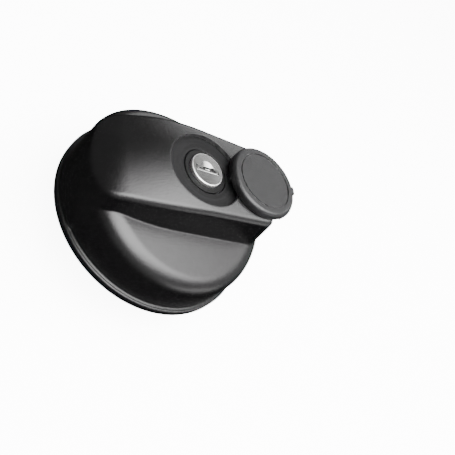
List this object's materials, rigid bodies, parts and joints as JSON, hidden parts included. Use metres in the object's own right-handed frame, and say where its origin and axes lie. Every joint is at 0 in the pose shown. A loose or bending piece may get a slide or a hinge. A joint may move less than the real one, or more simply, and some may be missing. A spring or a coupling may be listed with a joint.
{
  "type": "fuel filler cap",
  "caption": "Round locking fuel filler cap with a wide grip bar, a key lock under a swivel dust cover, a seal and a winged bayonet plate.",
  "frame": {"origin": "on the cap's axis, in the plane where the seal meets the filler neck", "axes": "+Z out of the neck along the cap's axis, +X along the grip bar towards the end where the dust cover lies open"},
  "size_m": [0.086, 0.086, 0.0591],
  "materials": {
    "plastic_black": "satin moulded plastic with a fine grain",
    "plastic_cover": "satin moulded plastic, a shade lighter",
    "plastic_inner": "plain moulded plastic",
    "acetal": "natural acetal",
    "collar_black": "black coated zinc",
    "zinc": "zinc die casting",
    "steel_bright": "bright stainless sheet",
    "steel_plain": "zinc plated steel",
    "brass": "plain brass",
    "rubber": "black nitrile rubber"
  },
  "bodies": {
    "core": {"core_body": "plastic_inner", "seal_gasket": "rubber", "bayonet_plate": "steel_plain", "plate_washer": "steel_plain", "plate_rivet": "steel_plain", "vent_valve_cap": "plastic_inner", "vent_valve_spring": "steel_plain"},
    "shell": {"cap_shell": "plastic_black", "lock_barrel": "collar_black", "barrel_clip": "steel_plain", "barrel_o_ring": "rubber", "bolt_guide": "acetal", "guide_screws": "steel_plain", "retainer_ring": "plastic_inner", "retainer_screws": "steel_plain"},
    "cover": {"dust_cover": "plastic_cover", "cover_pivot_screw": "steel_plain", "cover_spring_washer": "steel_plain"},
    "plug": {"lock_plug": "zinc", "wafer_tumblers": "brass", "lock_face_cap": "steel_bright", "shutter_pin": "steel_plain", "lock_cam": "zinc", "cam_screw": "steel_plain"},
    "shutter": {"keyway_shutter": "steel_bright"},
    "bolt": {"clutch_bolt": "steel_plain"},
    "vent": {"vent_valve_disc": "rubber"}
  },
  "joints": [
    {"name": "cap_spin", "type": "hinge", "parent": "core", "child": "shell", "pos_m": [0, 0, 0], "axis": [0, 0, 1], "continuous": true},
    {"name": "cover_swing", "type": "hinge", "parent": "shell", "child": "cover", "pos_m": [0.013, 0, 0.0357], "axis": [0, 0, 1], "range_deg": [0, 180]},
    {"name": "key_turn", "type": "hinge", "parent": "shell", "child": "plug", "pos_m": [0, 0, 0.0354], "axis": [0, 0, -1], "range_deg": [0, 90]},
    {"name": "bolt_slide", "type": "slide", "parent": "shell", "child": "bolt", "axis": [1, 0, 0], "range_m": [0, 0.00453]},
    {"name": "shutter_flap", "type": "hinge", "parent": "plug", "child": "shutter", "pos_m": [0, 0.0021, 0.03395], "axis": [1, 0, 0], "range_deg": [0, 75], "stiffness_Nm_per_rad": 0.0005, "springref_deg": -28.65},
    {"name": "vent_lift", "type": "slide", "parent": "core", "child": "vent", "axis": [0, 0, -1], "range_m": [0, 0.0012], "stiffness_N_per_m": 60, "springref_m": -0.002, "deforming": ["vent_valve_spring"]}
  ],
  "couplings": [
    {"joint": "key_turn", "follows": "bolt_slide", "rad_per_m": 347.1}
  ]
}
